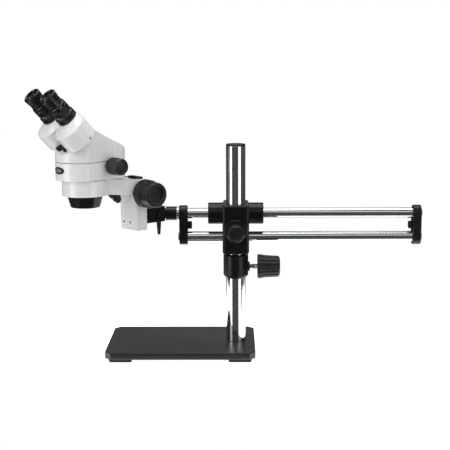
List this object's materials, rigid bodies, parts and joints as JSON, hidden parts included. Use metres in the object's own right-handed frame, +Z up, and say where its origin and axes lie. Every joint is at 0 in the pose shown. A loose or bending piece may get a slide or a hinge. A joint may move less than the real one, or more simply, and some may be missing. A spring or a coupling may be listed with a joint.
{
  "type": "stereo microscope",
  "caption": "Stereo zoom microscope head in a focusing rack, carried by a sliding double-rod boom on a pillar with a flat rectangular base plate.",
  "frame": {"origin": "on the bench, under the middle of the whole microscope's bounding box", "axes": "+X along the boom, away from the head; +Y to the back, away from the user's side; +Z up the pillar"},
  "size_m": [0.7979, 0.2759, 0.5501],
  "materials": {
    "base_paint": "matt black powder coat",
    "foot_rubber": "matt moulded rubber",
    "chrome": "polished hard chrome",
    "black_casting": "satin black enamel on a casting",
    "black_plastic": "matt moulded plastic",
    "steel": "satin machined steel",
    "rack_paint": "gloss white enamel on cast aluminium",
    "head_paint": "gloss white enamel on cast aluminium",
    "knob_plastic": "matt ribbed plastic",
    "nose_black": "satin black anodised",
    "ocular_black": "satin black anodised",
    "eyecup_rubber": "matt soft rubber",
    "optical_glass": "polished coated optical glass"
  },
  "bodies": {
    "stand": {"base_plate": "base_paint", "foot_front_left": "foot_rubber", "foot_front_right": "foot_rubber", "foot_back_left": "foot_rubber", "foot_back_right": "foot_rubber", "pillar": "chrome", "pillar_cap": "black_plastic", "pillar_bolt": "steel"},
    "collar": {"safety_collar": "black_casting"},
    "collar_clamp": {"collar_screw": "steel", "collar_knob": "black_plastic"},
    "carrier": {"carrier_block": "black_casting", "upper_bush_left": "steel", "upper_bush_right": "steel", "lower_bush": "steel"},
    "carrier_clamp": {"carrier_lock_screw": "steel", "carrier_lock_knob": "black_plastic"},
    "boom": {"upper_rod": "chrome", "lower_rod": "chrome", "link_plate_left": "black_casting", "link_plate_right": "black_casting", "rod_bolt_lower_left": "steel", "rod_bolt_upper_right": "steel", "rod_bolt_lower_right": "steel", "bumper_left": "foot_rubber", "bumper_right": "foot_rubber", "spigot": "chrome"},
    "knuckle": {"knuckle_block": "black_casting"},
    "knuckle_clamp": {"knuckle_screw": "black_plastic"},
    "rack": {"rack_adapter": "black_casting", "rack_housing": "rack_paint", "rack_end_cap": "black_plastic"},
    "focus_control": {"pinion_shaft": "steel", "focus_knob_near": "knob_plastic", "focus_knob_far": "knob_plastic"},
    "arm": {"focus_arm": "rack_paint", "gear_rack": "steel", "gib_screw_near": "steel", "gib_screw_far": "steel", "ring_set_screw": "steel"},
    "head_clamp": {"head_lock_screw": "black_plastic"},
    "head": {"head_base": "head_paint", "head_cover": "head_paint", "nosepiece": "nose_black", "objective_lens": "optical_glass", "badge_plate": "black_plastic"},
    "zoom_control": {"zoom_shaft": "steel", "zoom_knob_near": "knob_plastic", "zoom_knob_far": "knob_plastic"},
    "zoom_optics": {"zoom_carriage": "black_plastic"},
    "prism_unit_near": {"prism_housing_near": "head_paint", "prism_near": "optical_glass"},
    "prism_unit_far": {"prism_housing_far": "head_paint", "prism_far": "optical_glass"},
    "diopter_near": {"diopter_ring_near": "ocular_black"},
    "diopter_far": {"diopter_ring_far": "ocular_black"},
    "ocular_near": {"eyepiece_near": "ocular_black", "eyecup_near": "eyecup_rubber"},
    "ocular_far": {"eyepiece_far": "ocular_black", "eyecup_far": "eyecup_rubber"}
  },
  "joints": [
    {"name": "collar_height", "type": "slide", "parent": "stand", "child": "collar", "axis": [0, 0, 1], "range_m": [-0.11, 0.115]},
    {"name": "collar_clamp_turn", "type": "hinge", "parent": "collar", "child": "collar_clamp", "pos_m": [0.0531, 0.0355, 0.179], "axis": [1, 0, 0], "range_deg": [0, 360]},
    {"name": "boom_swivel", "type": "hinge", "parent": "collar", "child": "carrier", "pos_m": [0.0081, 0.0355, 0.2595], "axis": [0, 0, 1], "continuous": true},
    {"name": "carrier_clamp_turn", "type": "hinge", "parent": "carrier", "child": "carrier_clamp", "pos_m": [0.0081, -0.0105, 0.2595], "axis": [0, -1, 0], "range_deg": [0, 360]},
    {"name": "boom_slide", "type": "slide", "parent": "carrier", "child": "boom", "axis": [1, 0, 0], "range_m": [-0.3, 0.033]},
    {"name": "knuckle_tilt", "type": "hinge", "parent": "boom", "child": "knuckle", "pos_m": [-0.1319, 0.0775, 0.2845], "axis": [1, 0, 0], "range_deg": [-45, 45]},
    {"name": "knuckle_clamp_turn", "type": "hinge", "parent": "knuckle", "child": "knuckle_clamp", "pos_m": [-0.1542, 0.0775, 0.2625], "axis": [0, 0, 1], "range_deg": [0, 360]},
    {"name": "rack_swivel", "type": "hinge", "parent": "knuckle", "child": "rack", "pos_m": [-0.1542, 0.0775, 0.2845], "axis": [0, 0, 1], "range_deg": [-50, 50]},
    {"name": "focus_slide", "type": "slide", "parent": "rack", "child": "arm", "axis": [0, 0, 1], "range_m": [-0.022, 0.022]},
    {"name": "focus_turn", "type": "hinge", "parent": "rack", "child": "focus_control", "pos_m": [-0.19825, 0.04054, 0.3355], "axis": [0.6428, -0.766, 0], "range_deg": [-305, 305]},
    {"name": "head_turn", "type": "hinge", "parent": "arm", "child": "head", "pos_m": [-0.29132, -0.03756, 0.3555], "axis": [0, 0, 1], "continuous": true},
    {"name": "head_clamp_turn", "type": "hinge", "parent": "arm", "child": "head_clamp", "pos_m": [-0.26214, -0.01307, 0.3475], "axis": [0.6468, 0.5427, -0.5358], "range_deg": [0, 360]},
    {"name": "zoom_optics_slide", "type": "slide", "parent": "head", "child": "zoom_optics", "axis": [0, 0, 1], "range_m": [-0.00586, 0.00586]},
    {"name": "zoom_turn", "type": "hinge", "parent": "head", "child": "zoom_control", "pos_m": [-0.26413, -0.01474, 0.3985], "axis": [0.6428, -0.766, 0], "range_deg": [-120, 120]},
    {"name": "prism_near_turn", "type": "hinge", "parent": "head", "child": "prism_unit_near", "pos_m": [-0.31193, -0.09872, 0.48], "axis": [-0.5417, -0.4545, 0.7071], "range_deg": [-38, 10]},
    {"name": "prism_far_turn", "type": "hinge", "parent": "head", "child": "prism_unit_far", "pos_m": [-0.35513, -0.04724, 0.48], "axis": [-0.5417, -0.4545, 0.7071], "range_deg": [-10, 38]},
    {"name": "eyepiece_near_focus", "type": "slide", "parent": "prism_unit_near", "child": "ocular_near", "axis": [-0.5417, -0.4545, 0.7071], "range_m": [-0.0022, 0.0025]},
    {"name": "diopter_near_turn", "type": "hinge", "parent": "prism_unit_near", "child": "diopter_near", "pos_m": [-0.308, -0.0902, 0.48849], "axis": [-0.5417, -0.4545, 0.7071], "range_deg": [-127, 144]},
    {"name": "eyepiece_far_focus", "type": "slide", "parent": "prism_unit_far", "child": "ocular_far", "axis": [-0.5417, -0.4545, 0.7071], "range_m": [-0.0022, 0.0025]},
    {"name": "diopter_far_turn", "type": "hinge", "parent": "prism_unit_far", "child": "diopter_far", "pos_m": [-0.34606, -0.04485, 0.48849], "axis": [-0.5417, -0.4545, 0.7071], "range_deg": [-127, 144]}
  ],
  "couplings": [
    {"joint": "focus_turn", "follows": "focus_slide", "rad_per_m": -240},
    {"joint": "zoom_turn", "follows": "zoom_optics_slide", "rad_per_m": 357},
    {"joint": "prism_far_turn", "follows": "prism_near_turn", "ratio": -1},
    {"joint": "diopter_near_turn", "follows": "eyepiece_near_focus", "rad_per_m": 1000},
    {"joint": "diopter_far_turn", "follows": "eyepiece_far_focus", "rad_per_m": 1000}
  ]
}
